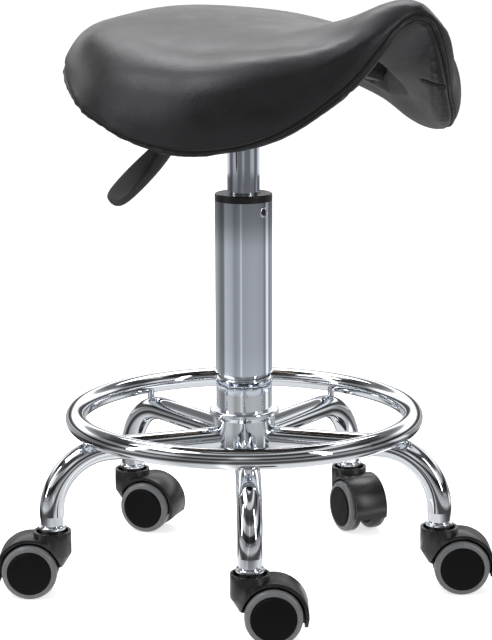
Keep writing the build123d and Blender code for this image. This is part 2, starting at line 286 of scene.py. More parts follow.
# chrome, with a bluer copy on the column; that copy's bluer tint is a painted reflection tint
chromeLook = {
    "tone": (0.79, 0.82, 0.865), "columnReflectionTint": (0.80, 0.86, 0.97), "darker": 0.96,
    "rough": (0.035, 0.075), "hazeScale": 35.0, "cloudScale": 12.0,
}


def chromeFinish(name, light):
    mat, tree, shader = newMaterial(name)
    coords = objectCoords(tree)
    shader.inputs["Metallic"].default_value = 1.0
    haze = noiseTexture(tree, coords, chromeLook["hazeScale"], detail=4.0)
    roughFrom(tree, shader, haze, *chromeLook["rough"])
    cloud = noiseTexture(tree, coords, chromeLook["cloudScale"], detail=2.0)
    colourFrom(tree, shader, cloud, tuple(c * chromeLook["darker"] for c in light), light)
    return mat


# zinc steel
steelLook = {"dark": (0.52, 0.52, 0.53), "light": (0.64, 0.64, 0.66), "rough": (0.24, 0.38), "grainScale": 220.0}


def steelFinish():
    mat, tree, shader = newMaterial("zincSteel")
    shader.inputs["Metallic"].default_value = 1.0
    grain = noiseTexture(tree, objectCoords(tree), steelLook["grainScale"], detail=4.0)
    roughFrom(tree, shader, grain, *steelLook["rough"])
    colourFrom(tree, shader, grain, steelLook["dark"], steelLook["light"])
    return mat


# black finishes: dark and light tone, roughness, grain scale, grain depth, gloss
blackLooks = {
    "hoodBlackNylon": ((0.006, 0.0055, 0.0065), (0.012, 0.0115, 0.0125), 0.30, 900.0, 0.00006, 0.65),
    "wheelDiscBlack": ((0.003, 0.003, 0.0035), (0.006, 0.006, 0.0065), 0.50, 700.0, 0.00005, 0.12),
    "capBlackPlastic": ((0.008, 0.008, 0.009), (0.015, 0.015, 0.016), 0.35, 900.0, 0.00004, 0.3),
    "blackPowderCoat": ((0.012, 0.012, 0.012), (0.022, 0.022, 0.022), 0.5, 500.0, 0.00008, 0.3),
    # near-black seam tubes: partly real seam thread, partly painted shade that darkens each seam's groove
    "blackThreadSeamShade": ((0.004, 0.004, 0.004), (0.008, 0.008, 0.008), 0.6, 2500.0, 0.00002, 0.3),
    "spoonBlackPlastic": ((0.030, 0.029, 0.031), (0.045, 0.043, 0.046), 0.5, 900.0, 0.00005, 0.35),
}
blackShared = {"cloudScale": 60.0, "roughDown": 0.05, "roughUp": 0.06, "grainStrength": 0.6}


def blackFinish(name):
    dark, light, rough, grainScale, grainDepth, gloss = blackLooks[name]
    mat, tree, shader = newMaterial(name)
    coords = objectCoords(tree)
    shader.inputs["Specular IOR Level"].default_value = gloss
    cloud = noiseTexture(tree, coords, blackShared["cloudScale"])
    colourFrom(tree, shader, cloud, dark, light)
    roughFrom(tree, shader, cloud, rough - blackShared["roughDown"], rough + blackShared["roughUp"])
    grain = noiseTexture(tree, coords, grainScale, detail=2.0, rough=0.6)
    bumpFrom(tree, shader, grain, grainDepth, blackShared["grainStrength"])
    return mat


# leather cloth of the saddle
leatherLook = {
    "dark": (0.006, 0.0055, 0.006), "light": (0.013, 0.0125, 0.013), "rough": 0.37, "roughSpan": 0.05,
    "cell": 640.0, "crease": 0.25, "depth": 0.00012, "strength": 0.5, "cloudScale": 40.0,
    "shine": {"Specular IOR Level": 0.5, "Specular Tint": (0.94, 0.925, 1.0, 1.0),
              "Sheen Weight": 0.04, "Sheen Roughness": 0.4},
}


def leatherFinish():
    mat, tree, shader = newMaterial("blackLeatherCloth")
    coords = objectCoords(tree)
    cells = addNode(tree, "ShaderNodeTexVoronoi", feature="DISTANCE_TO_EDGE")
    cells.inputs["Scale"].default_value = leatherLook["cell"]
    tree.links.new(coords, cells.inputs["Vector"])
    crease = spread(tree, cells.outputs["Distance"], 0.0, 1.0, 0.0, leatherLook["crease"])
    cloud = noiseTexture(tree, coords, leatherLook["cloudScale"], detail=4.0)
    colourFrom(tree, shader, cloud, leatherLook["dark"], leatherLook["light"])
    rough, span = leatherLook["rough"], leatherLook["roughSpan"]
    roughFrom(tree, shader, cloud, rough - span, rough + span)
    bumpFrom(tree, shader, crease, leatherLook["depth"], leatherLook["strength"])
    setSockets(shader, leatherLook["shine"])
    return mat


# grey tread
treadLook = {
    "dark": (0.15, 0.155, 0.162), "light": (0.20, 0.205, 0.212), "rough": (0.2, 0.3),
    "cloudScale": 90.0, "grainScale": 900.0, "grainDepth": 0.00003, "strength": 0.5,
}


def treadFinish():
    mat, tree, shader = newMaterial("greySoftTread")
    coords = objectCoords(tree)
    cloud = noiseTexture(tree, coords, treadLook["cloudScale"], detail=4.0)
    colourFrom(tree, shader, cloud, treadLook["dark"], treadLook["light"])
    roughFrom(tree, shader, cloud, *treadLook["rough"])
    grain = noiseTexture(tree, coords, treadLook["grainScale"])
    bumpFrom(tree, shader, grain, treadLook["grainDepth"], treadLook["strength"])
    return mat


# plywood of the board
plywoodLook = {
    "dark": (0.42, 0.29, 0.17), "light": (0.62, 0.47, 0.30), "rough": 0.7,
    "plies": {"Scale": 110.0, "Distortion": 1.5, "Detail": 2.0},
}


def plywoodFinish():
    mat, tree, shader = newMaterial("rawPlywood")
    plies = addNode(tree, "ShaderNodeTexWave", bands_direction="Z")
    setSockets(plies, plywoodLook["plies"])
    tree.links.new(objectCoords(tree), plies.inputs["Vector"])
    colourFrom(tree, shader, plies.outputs["Fac"], plywoodLook["dark"], plywoodLook["light"])
    shader.inputs["Roughness"].default_value = plywoodLook["rough"]
    return mat


chrome = chromeFinish("polishedChrome", chromeLook["tone"])
# column copy of the chrome, tinted bluer as a painted tint of bluish reflections
columnChromeReflectionTint = chromeFinish("columnChromeReflectionTint", chromeLook["columnReflectionTint"])
steel = steelFinish()
hoodBlack = blackFinish("hoodBlackNylon")
discBlack = blackFinish("wheelDiscBlack")
capBlack = blackFinish("capBlackPlastic")
plateBlack = blackFinish("blackPowderCoat")
leather = leatherFinish()
# finish of the seam tubes: seam thread, and also painted shade along the seam grooves
threadSeamShade = blackFinish("blackThreadSeamShade")
spoonBlack = blackFinish("spoonBlackPlastic")
tread = treadFinish()
plywood = plywoodFinish()

nodeFinish = {"chrome": chrome, "steel": steel, "black_steel": plateBlack, "wheel_black": discBlack,
              "tread_grey": tread, "plywood": plywood, "upholstery": leather, "black_plastic": hoodBlack}
for entry in frame["record"]["subparts"]:
    data = nodes[entry["node"]].data
    data.materials.clear()
    data.materials.append(nodeFinish[entry["material_slot"]])
nodes["top_cap"].data.materials[0] = capBlack
# the column parts take the bluer chrome copy: a painted reflection tint
for nodeName in ("column_cover", "gas_cylinder"):
    nodes[nodeName].data.materials[0] = columnChromeReflectionTint
print("finishes on", len(nodes), "nodes")

# saddle cushion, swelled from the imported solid
boardLow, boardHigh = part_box("seat_board")
saddle = {
    "voxel": 0.0047, "shrink": 0.002, "shrinkTilt": 0.6, "heldTilt": -0.15, "boardGap": 0.006,
    "pressure": 4.0, "cap": 0.0035, "frames": 14, "fill": 0.85, "inside": 0.0006, "outside": 0.0016,
    "cloth": {"quality": 4, "mass": 0.4, "tension_stiffness": 40, "compression_stiffness": 40,
              "bending_stiffness": 10},
}


def insideBoard(point, margin):
    return all(boardLow[i] - margin < point[i] < boardHigh[i] + margin for i in range(3))


def drawIn(obj):
    tilt, gap = saddle["shrinkTilt"], saddle["boardGap"]
    drawn = [0.0 if insideBoard(v.co, gap) else max(0.0, min(1.0, v.normal.z + tilt)) for v in obj.data.vertices]
    pushOut(obj, "drawn", drawn, -saddle["shrink"])


def swellCushion(obj):
    rest = [v.co.copy() for v in obj.data.vertices]
    held = []
    for v in obj.data.vertices:
        under = v.normal.z < saddle["heldTilt"] or insideBoard(v.co, saddle["boardGap"])
        held.append(1.0 if under else 0.0)
    weightGroup(obj, "held", held)
    cloth = obj.modifiers.new("swell", "CLOTH")
    for name, value in saddle["cloth"].items():
        setattr(cloth.settings, name, value)
    cloth.settings.use_pressure = True
    cloth.settings.uniform_pressure_force = saddle["pressure"]
    cloth.settings.vertex_group_mass = "held"
    cloth.settings.effector_weights.gravity = 0
    cloth.collision_settings.use_collision = False
    scene = bpy.context.scene
    for tick in range(1, saddle["frames"] + 1):
        scene.frame_set(tick)
    applyAll(obj)
    scene.frame_set(1)
    for v, start in zip(obj.data.vertices, rest):
        move = v.co - start
        if move.length > saddle["cap"]:
            v.co = start + move.normalized() * saddle["cap"]


def keepNearSolid(obj):
    solid = meshTree(nodes["seat_cushion"])
    for v in obj.data.vertices:
        spot, normal, face, gap = solid.find_nearest(v.co)
        proud = (v.co - spot).dot(normal) > 0
        limit = saddle["outside"] if proud else saddle["inside"]
        if gap > limit:
            v.co = spot + (v.co - spot) * (limit / gap)


# lower edge of the saddle
rimEdge = {"sharp": 38.0, "boardGap": 0.008, "step": 0.002, "start": 0.004, "reach": 0.03, "near": 21,
           "width": 0.0055, "farWidths": 3}


def rimTips(obj):  # points along the lower edge, each with the way it faces
    mesh = obj.data
    sharp = math.radians(rimEdge["sharp"])
    sides = {}
    for poly in mesh.polygons:
        for key in poly.edge_keys:
            sides.setdefault(key, []).append(poly)
    tips = []
    for (a, b), polys in sides.items():
        if len(polys) != 2 or polys[0].normal.angle(polys[1].normal, 0) < sharp:
            continue
        start, end = mesh.vertices[a].co, mesh.vertices[b].co
        if (polys[1].center - start).dot(polys[0].normal) > 0 or insideBoard(start, rimEdge["boardGap"]):
            continue
        facing = (polys[0].normal + polys[1].normal).normalized()
        count = max(1, int((end - start).length / rimEdge["step"]))
        tips += [(start.lerp(end, (i + 0.5) / count), facing) for i in range(count)]
    return tips


def fillRim(obj, tips):  # smoothing draws the edge in, so it is pushed back out to the solid's edge
    skin = meshTree(obj)
    ends, pushes = [], []
    for tip, facing in tips:
        spot, normal, face, gap = skin.ray_cast(tip + facing * rimEdge["start"], -facing, rimEdge["reach"])
        pushes.append(facing * max(0.0, gap - rimEdge["start"]) if spot else Vector())
        ends.append(spot or tip)
    tree = pointTree(ends)
    for v in obj.data.vertices:
        near = tree.find_n(v.co, rimEdge["near"])
        closest = near[0][2]
        if closest < rimEdge["width"] * rimEdge["farWidths"]:
            push = sum((pushes[index] for spot, index, gap in near), Vector()) / len(near)
            v.co += push * math.exp(-((closest / rimEdge["width"]) ** 2))


# where the stuffing stands fuller than the solid: place and push in millimetres, then how far it spreads
fuller = [
    ((-70, 118, 484), (-1.0, 1.5, 4.5), 52),
    ((-152, 0, 469), (-4.0, 0.0, 3.0), 26),
    ((-132, 62, 467), (-3.6, 2.6, 3.2), 28),
    ((-98, 104, 468), (-4.0, 5.0, 3.2), 30),
    ((-52, 138, 465), (-1.0, 3.6, 3.0), 28),
    ((-38, 158, 438), (0.4, -0.8, -2.5), 30),
    ((-64, 144, 444), (1.1, -1.7, -4.5), 30),
    ((-87, 125, 447), (1.3, -1.6, -4.5), 30),
    ((-108, 105, 450), (1.4, -1.4, -4.5), 30),
    ((-127, 81, 452), (1.6, -1.1, -4.5), 30),
    ((-141, 57, 454), (1.7, -0.8, -4.5), 30),
    ((-152, 29, 456), (1.8, -0.5, -4.5), 30),
    ((-157, 0, 457), (1.8, 0.0, -4.5), 30),
    ((0, 172, 424), (0.0, 0.5, -3.0), 34),
    ((94, 141, 397), (0.0, 0.5, -3.5), 38),
    ((150, 97, 416), (3.0, 3.0, -5.0), 36),
    ((185, 54, 450), (2.5, 2.0, -3.0), 26),
    ((184, 42, 491), (2.5, 2.5, 1.0), 28),
    ((195, 0, 506), (1.5, 0.0, 5.5), 42),
]
fullerReach = 2.6
plump = {"from": -0.03, "step": 0.02, "over": 0.06, "band": 0.026, "fade": 1.25, "rounds": (4, 5, 6), "push": 0.0022}


def fullPush(point):
    push = Vector()
    for (x, y, z), move, spreadOut in fuller:
        for side in ((1, -1) if y else (1,)):
            gap = (point * perMetre - Vector((x, y * side, z))).length / spreadOut
            if gap < fullerReach:
                push += Vector((move[0], move[1] * side, move[2])) * math.exp(-gap * gap)
    return push * mm


def plumpTail(obj, edge):  # round the back edge, then let it swell
    gaps = [edge.find(v.co)[2] for v in obj.data.vertices]
    backs = [rise(plump["from"] - v.co.x, plump["over"]) for v in obj.data.vertices]
    band = plump["band"]
    for step, rounds in enumerate(plump["rounds"]):
        start = plump["from"] - plump["step"] * step
        smoothPicked(obj, lambda v: v.co.x < start and edge.find(v.co)[2] < band, rounds)
    weights = [back * rise(band * plump["fade"] - gap, band) for gap, back in zip(gaps, backs)]
    pushOut(obj, "tail", weights, plump["push"])


# smoothing of the cushion: rounds and share for the whole of it, then the parts that are smoothed once more
easing = {"skin": (5, 0.5), "swelled": (5, 0.5), "held": (2, 0.4), "filled": (3, 0.4), "beaded": (3, 0.45),
          "edgeBand": 0.006, "edgeRounds": 4, "tailFrom": -0.02, "tailAbove": 0.458, "tailRounds": 16,
          "topTilt": 0.35, "topAbove": 0.462, "topRounds": 30}


def makeCushion():
    cushion = copyOfNode("seat_cushion", "saddleCushion")
    tips = rimTips(cushion)
    edge = pointTree([tip for tip, facing in tips])
    skin = cushion.modifiers.new("evenSkin", "REMESH")
    skin.mode = "VOXEL"
    skin.voxel_size = saddle["voxel"]
    applyAll(cushion)
    smoothMesh(cushion, *easing["skin"])
    drawIn(cushion)
    swellCushion(cushion)
    smoothMesh(cushion, *easing["swelled"])
    keepNearSolid(cushion)
    smoothMesh(cushion, *easing["held"])
    fillRim(cushion, tips)
    subdivideOnce(cushion)
    keepNearSolid(cushion)
    fillRim(cushion, tips)
    smoothPicked(cushion, lambda v: edge.find(v.co)[2] < easing["edgeBand"], easing["edgeRounds"])
    fillRim(cushion, tips)
    plumpTail(cushion, edge)
    for v in cushion.data.vertices:
        v.co += fullPush(v.co)
    smoothMesh(cushion, *easing["filled"])
    smoothPicked(cushion, lambda v: v.co.x < easing["tailFrom"] and v.co.z > easing["tailAbove"], easing["tailRounds"])
    smoothPicked(cushion, lambda v: v.normal.z > easing["topTilt"] and v.co.z > easing["topAbove"], easing["topRounds"])
    makeActive(cushion)
    bpy.ops.object.shade_smooth()
    cushion.data.materials.append(leather)
    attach(cushion, "seat")
    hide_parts("seat_cushion")
    print("rim filled along", len(tips), "points")
    return cushion


cushion = makeCushion()
print("cushion swelled:", len(cushion.data.polygons), "faces")

# rim of the saddle, nose to tail in millimetres: forward, rim y z, shoulder y z, inner y z
rimRows = [
    (204.0, 13.0, 493.0, 9.0, 501.5, 6.0, 494.0),
    (197.0, 33.0, 474.0, 23.0, 499.5, 17.0, 482.0),
    (183.0, 55.5, 449.5, 40.0, 491.0, 31.0, 468.0),
    (152.0, 96.5, 416.5, 61.5, 479.0, 60.0, 443.0),
    (108.0, 137.0, 399.5, 87.0, 472.5, 98.0, 427.0),
    (58.0, 160.0, 401.5, 108.0, 473.0, 124.0, 424.0),
    (0.0, 171.0, 423.5, 118.0, 481.0, 136.0, 436.0),
    (-58.0, 148.0, 443.0, 102.0, 487.5, 114.0, 448.0),
    (-108.0, 106.0, 451.0, 73.0, 481.5, 76.0, 454.0),
    (-141.0, 60.0, 455.0, 40.0, 470.0, 37.0, 456.8),
    (-157.0, 20.0, 457.0, 13.0, 463.0, 12.0, 457.4),
]
bead = {
    "radius": 0.0055, "search": 0.013, "step": 0.0016, "over": 0.0045, "ease": 12, "rounds": 5,
    "tipLean": 0.35, "tipFade": 0.4, "overFade": 0.7, "backLean": 0.35, "backFade": 0.6,
    "from": 0.03, "fade": 0.06, "under": 0.03, "underTilt": 0.3, "underRounds": 14,
}


def beadLine(obj):  # the middle of the bead, point by point, each with the way it faces
    rim = [Vector((s, y, z)) * mm for s, y, z, *rest in rimRows]
    along = alongPath("rimPath", halfToLoop([point + fullPush(point) for point in rim]), bead["step"], True)
    count, wide = len(along), bead["ease"]
    obj.data.update()
    skin = pointTree([v.co for v in obj.data.vertices])
    around = [skin.find_range(point, bead["search"]) for point in along]
    raw = [sum((obj.data.vertices[index].normal for spot, index, gap in near), Vector()) for near in around]
    faces, ends = [], []
    for i, point in enumerate(along):
        run = (along[(i + 1) % count] - along[i - 1]).normalized()
        out = windowSum(raw, i, wide, Vector())
        faces.append((out - run * out.dot(run)).normalized())
        ends.append(max([(spot - point).dot(faces[i]) for spot, index, gap in around[i]], default=0.0))
    eased = [windowSum(ends, i, wide, 0.0) / (2 * wide + 1) for i in range(count)]
    centres = [point + face * (end - bead["radius"]) for point, face, end in zip(along, faces, eased)]
    return centres, faces


def roundRim(obj):  # the edge of the saddle turns under in an even bead
    centres, faces = beadLine(obj)
    line = pointTree(centres)
    band = bead["radius"] + bead["over"]
    for v in obj.data.vertices:
        centre, index, gap = line.find(v.co)
        if gap > band:
            continue
        run = (centres[(index + 1) % len(centres)] - centres[index - 1]).normalized()
        away = v.co - centre
        away -= run * away.dot(run)
        lean = away.dot(faces[index]) / bead["radius"]
        off = away.length - bead["radius"]
        near = rise(bead["over"] - abs(off), bead["over"] * bead["overFade"])
        tip = rise(lean - bead["tipLean"], bead["tipFade"]) * near
        back = rise(bead["from"] - v.co.x, bead["fade"])
        share = back * rise(lean + bead["backLean"], bead["backFade"]) + (1 - back) * tip
        v.co -= away.normalized() * off * share
    smoothPicked(obj, lambda v: line.find(v.co)[2] < band, bead["rounds"])

    def underTail(v):
        return v.co.x < bead["from"] and v.normal.z < bead["underTilt"] and line.find(v.co)[2] < bead["under"]

    smoothPicked(obj, underTail, bead["underRounds"])


roundRim(cushion)
smoothMesh(cushion, *easing["beaded"])
print("rim rounded")

# dished underside
pan = {"depth": 0.018, "wall": 0.007, "edge": 0.003, "front": 0.144, "sweep": 0.38, "back": 0.03,
       "boardGap": 0.006, "tilt": -0.1, "probe": 0.002, "thickShare": 0.45}


def innerReach(forward):  # half width between the two rolls, in metres
    for (s0, *left), (s1, *right) in zip(rimRows, rimRows[1:]):
        if s1 <= forward * perMetre <= s0:
            share = (forward * perMetre - s1) / (s0 - s1)
            return (right[4] + (left[4] - right[4]) * share) * mm
    return 0.0


def carvePan(obj):  # dished between the two rolls, beside the seat board and in front of it
    skin = meshTree(obj)
    lift = []
    for v in obj.data.vertices:
        clear = max(v.co.x - boardHigh[0], abs(v.co.y) - boardHigh[1]) - pan["boardGap"]
        ahead = min(clear, pan["front"] - pan["sweep"] * abs(v.co.y) - v.co.x, v.co.x - pan["back"])
        within = innerReach(v.co.x) - pan["edge"] - abs(v.co.y)
        amount = 0.0
        if ahead > 0 and within > 0 and v.normal.z < pan["tilt"]:
            amount = rise(ahead, pan["wall"]) * rise(within, pan["wall"])
            spot, normal, face, thick = skin.ray_cast(v.co + Vector((0, 0, pan["probe"])), Vector((0, 0, 1)))
            if spot:
                amount *= min(1.0, pan["thickShare"] * thick / pan["depth"])
        lift.append(amount)
    for v, amount in zip(obj.data.vertices, lift):
        v.co.z += amount * pan["depth"]


carvePan(cushion)
print("underside dished")

# sewn lines, with reaches and places in millimetres
seams = {
    "upReach": 5.0, "upOut": 3.0, "inReach": 5.5, "longer": {"side": 1.1, "inner": 2.6},
    "backFrom": -20.0, "backOver": 60.0, "step": 0.0013, "ease": 5, "sweeps": 3,
    "groove": 0.0013, "width": 0.0019, "near": 2.6, "threadSeamShade": 0.00055, "sunk": 0.85, "every": 3,
}
liningJoin = [(158, 54, 447.5), (165, 50.5, 446.5), (173, 48, 446),
              (179, 48.6, 444.7), (181.2, 53.3, 442.9), (181, 58.4, 441.8)]
noseFolds = [[(203.5, -12, 496), (205.4, -8, 500.4), (205.3, 0, 502.4), (205.4, 8, 500), (203.2, 15, 495)],
             [(202.8, -8, 495), (203.6, 0, 498.4), (203, 9, 495.8)]]


def seamGuess(towards, reach, outward):
    half = []
    for s, rimY, rimZ, shY, shZ, inY, inZ in rimRows:
        rim = Vector((s, rimY, rimZ))
        goal = Vector((s, shY, shZ)) if towards == "side" else Vector((s, inY, inZ))
        back = rise(seams["backFrom"] - s, seams["backOver"])
        spot = rim + (goal - rim).normalized() * reach * (1 + seams["longer"][towards] * back)
        spot.y += outward * (1 - back)
        half.append(spot * mm + fullPush(spot * mm))
    return halfToLoop(half)


def layOnLeather(name, points, closed=True):
    spots = alongPath(name, points, seams["step"], closed)
    skin = meshTree(cushion)
    line = [skin.find_nearest(point)[:2] for point in spots]
    wide = seams["ease"]
    for sweep in range(seams["sweeps"] if closed else 0):  # even out the line, then lay it on the leather again
        places = [point for point, normal in line]
        eased = [windowSum(places, i, wide, Vector()) / (2 * wide + 1) for i in range(len(places))]
        line = [skin.find_nearest(point)[:2] for point in eased]
    return line


def pressGroove(obj, lines):
    tree = pointTree([point for line in lines for point, normal in line])
    near = [tree.find(v.co)[2] < seams["width"] * seams["near"] for v in obj.data.vertices]
    pickVertices(obj, lambda v: False)
    bpy.ops.mesh.select_mode(type="FACE")
    leaveEdit()
    for poly in obj.data.polygons:
        poly.select = any(near[v] for v in poly.vertices)
    bpy.ops.object.mode_set(mode="EDIT")
    bpy.ops.mesh.subdivide(number_cuts=1, smoothness=0.0)
    leaveEdit()
    weights = [math.exp(-((tree.find(v.co)[2] / seams["width"]) ** 2)) for v in obj.data.vertices]
    pushOut(obj, "sewn", weights, -seams["groove"])


# near-black tube sunk in a seam's groove: the seam thread, and also painted shade that deepens the groove's dark line
def threadShadeTube(name, line, closed=True):
    depth = seams["groove"] * seams["sunk"]
    curve = bpy.data.curves.new(name, "CURVE")
    curve.dimensions = "3D"
    curve.bevel_depth = seams["threadSeamShade"]
    curve.bevel_resolution = 1
    spline = curve.splines.new("POLY")
    kept = line[::seams["every"]]
    spline.points.add(len(kept) - 1)
    for knot, (point, normal) in zip(spline.points, kept):
        knot.co = (*(point - normal * depth), 1)
    spline.use_cyclic_u = closed
    obj = bpy.data.objects.new(name, curve)
    bpy.context.scene.collection.objects.link(obj)
    makeActive(obj)
    bpy.ops.object.convert(target="MESH")
    bpy.ops.object.shade_smooth()
    obj.data.materials.append(threadSeamShade)
    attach(obj, "seat")


upperSeam = layOnLeather("upperSeam", seamGuess("side", seams["upReach"], seams["upOut"]))
innerSeam = layOnLeather("innerSeam", seamGuess("inner", seams["inReach"], 0.0))
joins = []
for side in (1, -1):
    joins.append(layOnLeather("liningJoin", [Vector((x, y * side, z)) * mm for x, y, z in liningJoin], False))
folds = [layOnLeather("noseFold", [Vector(point) * mm for point in fold], False) for fold in noseFolds]
pressGroove(cushion, [upperSeam, innerSeam] + joins + folds)
# dark tubes in the seam grooves: seam thread and painted shade of the grooves
threadShadeTube("upperSeamThreadShade", upperSeam)
threadShadeTube("innerSeamThreadShade", innerSeam)
for number, line in enumerate(joins):
    threadShadeTube(f"liningThreadShade{number + 1}", line, False)
triangles = sum(len(p.vertices) - 2 for p in cushion.data.polygons)
print("seams sewn:", len(upperSeam), len(innerSeam), "triangles", triangles)

# caster hoods and treads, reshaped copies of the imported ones
casters = {
    "setBack": 0.0045, "sideBand": 0.0006, "skirt": 0.0048, "tuck": 0.0010, "skirtFrom": 0.02, "skirtBand": 0.0005,
    "flat": 1.0, "round": 0.0011, "roundFrom": 40.0, "hoodSmooth": 32.0, "greyShare": 0.42, "treadSmooth": 30.0,
}


def makeHood(k):
    hood = copyOfNode(f"caster_{k}_hood", f"caster{k}Hood")
    left, right = nodeMiddle(f"caster_{k}_tread_left"), nodeMiddle(f"caster_{k}_tread_right")
    middle = (left + right) / 2
    axle = (right - left).normalized()
    away = axle.cross(Vector((0, 0, 1)))
    stem = sum((v.co for v in hood.data.vertices), Vector()) / len(hood.data.vertices)
    if (middle - stem).dot(away) < 0:
        away = -away
    outer = max(abs((v.co - middle).dot(axle)) for v in hood.data.vertices)
    for side in (1, -1):  # the wheels stand a little proud of the fender's sides
        pickVertices(hood, lambda v: (v.co - middle).dot(axle) * side > outer - casters["sideBand"])
        bpy.ops.transform.translate(value=-axle * side * casters["setBack"])
    leaveEdit()

    def onSkirt(v):
        return (v.co - middle).dot(away) > casters["skirtFrom"]

    lowest = min(v.co.z for v in hood.data.vertices if onSkirt(v))
    pickVertices(hood, lambda v: v.co.z < lowest + casters["skirtBand"] and onSkirt(v))
    bpy.ops.transform.translate(value=Vector((0, 0, -casters["skirt"])) - away * casters["tuck"])
    editAll(hood)
    bpy.ops.mesh.dissolve_limited(angle_limit=math.radians(casters["flat"]))
    leaveEdit()
    bevelEdges(hood, casters["round"], casters["roundFrom"])
    shadeByAngle(hood, casters["hoodSmooth"])
    hood.data.materials.append(hoodBlack)
    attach(hood, f"caster_{k}")
    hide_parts(f"caster_{k}_hood")


def makeTread(k, side):
    node = f"caster_{k}_tread_{side}"
    ring = copyOfNode(node, f"caster{k}Tread{side.title()}")
    here, other = nodeMiddle(node), nodeMiddle(f"caster_{k}_tread_{'right' if side == 'left' else 'left'}")
    outward = (here - other).normalized()
    half = max((v.co - here).dot(outward) for v in ring.data.vertices)
    cut = here + outward * half * (1 - 2 * casters["greyShare"])
    editAll(ring)
    bpy.ops.mesh.bisect(plane_co=cut, plane_no=outward)
    leaveEdit()
    ring.data.materials.append(tread)
    ring.data.materials.append(hoodBlack)
    for poly in ring.data.polygons:
        poly.material_index = 0 if (poly.center - cut).dot(outward) > 0 else 1
    shadeByAngle(ring, casters["treadSmooth"])
    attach(ring, f"caster_{k}_{side}")
    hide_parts(node)


for k in range(1, 6):
    makeHood(k)
    for side in ("left", "right"):
        makeTread(k, side)
print("casters dressed")

# lever paddle, a spoon on the rod's end; rows: share of length, then width, above and below the rod in millimetres
paddle = {
    "slope": 38.0, "sides": 32, "topFrom": -0.01, "topSquare": 0.30, "backSquare": 0.75, "backNarrow": 0.35,
    "rows": [
        (0.0, 10.0, 5.6, 8.0), (0.015, 12.0, 6.2, 9.4), (0.12, 13.6, 6.5, 10.6), (0.28, 19.5, 6.3, 10.4),
        (0.45, 25.5, 5.9, 9.2), (0.62, 28.6, 5.5, 7.6), (0.78, 29.0, 5.3, 6.2), (0.89, 26.6, 5.2, 5.4),
        (0.96, 20.0, 4.8, 4.9), (0.99, 12.0, 3.2, 3.2), (1.0, 5.0, 1.4, 1.4),
    ],
}


def makePaddle():
    slope = math.radians(paddle["slope"])
    along = Vector((0, -math.cos(slope), -math.sin(slope)))
    above = Vector((0, -math.sin(slope), math.cos(slope)))
    vertices = [v.co for v in nodes["lever_paddle"].data.vertices]
    far = max(co.dot(along) for co in vertices)
    near = min(co.dot(along) for co in vertices)
    length = far - near
    lift = (max(co.dot(above) for co in vertices) + min(co.dot(above) for co in vertices)) / 2
    deselectAll()
    bpy.ops.mesh.primitive_circle_add(vertices=paddle["sides"], radius=1.0, fill_type="NGON", location=(0, 0, 0))
    spoon = bpy.context.object
    spoon.name = "leverSpoon"
    for v in spoon.data.vertices:  # a flat top face with a crisp edge, and a rounder, narrower back
        onTop = v.co.y > paddle["topFrom"]
        square = paddle["topSquare"] if onTop else paddle["backSquare"]
        narrow = 1.0 if onTop else 1 + paddle["backNarrow"] * v.co.y
        v.co.x = math.copysign(abs(v.co.x) ** square, v.co.x) * narrow
        v.co.y = math.copysign(abs(v.co.y) ** square, v.co.y)
    editAll(spoon)
    rows = paddle["rows"]
    width, top, under = rows[0][1:]
    half = 2000  # from millimetres across to metres each way
    bpy.ops.transform.resize(value=(width / half, (top + under) / half, 1))
    bpy.ops.transform.translate(value=(0, (top - under) / half, 0))
    for (share0, width0, top0, under0), (share1, width1, top1, under1) in zip(rows, rows[1:]):
        bpy.ops.mesh.extrude_region_move(TRANSFORM_OT_translate={"value": (0, 0, (share1 - share0) * length)})
        bpy.ops.transform.translate(value=(0, -(top0 - under0) / half, 0))
        bpy.ops.transform.resize(value=(width1 / width0, (top1 + under1) / (top0 + under0), 1),
                                 center_override=(0, 0, share1 * length))
        bpy.ops.transform.translate(value=(0, (top1 - under1) / half, 0))
    bpy.ops.mesh.select_all(action="SELECT")
    bpy.ops.mesh.normals_make_consistent(inside=False)
    leaveEdit()
    subdivideOnce(spoon)
    turn = Matrix((above.cross(along), above, along)).transposed().to_4x4()
    turn.translation = along * near + above * lift + Vector((nodeMiddle("lever_paddle").x, 0, 0))
    spoon.matrix_world = turn
    makeActive(spoon)
    bpy.ops.object.transform_apply(location=True, rotation=True, scale=True)
    bpy.ops.object.shade_smooth()
    spoon.data.materials.append(spoonBlack)
    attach(spoon, "lever")
    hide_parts("lever_paddle")


makePaddle()
print("lever spoon shaped")

# dimple and screw near the top of the column cover; insets hold thickness and depth
dimple = {
    "radius": 0.0046, "sides": 40, "sunk": 0.0003, "soften": 0.0003, "softenFrom": 30.0, "smooth": 40.0,
    "blackShare": 0.62,
    "insets": [(0.00054, 0.0009), (0.00054, 0.0), (0.0007, -0.0012), (0.0007, -0.0002), (0.0005, 0.0006)],
}


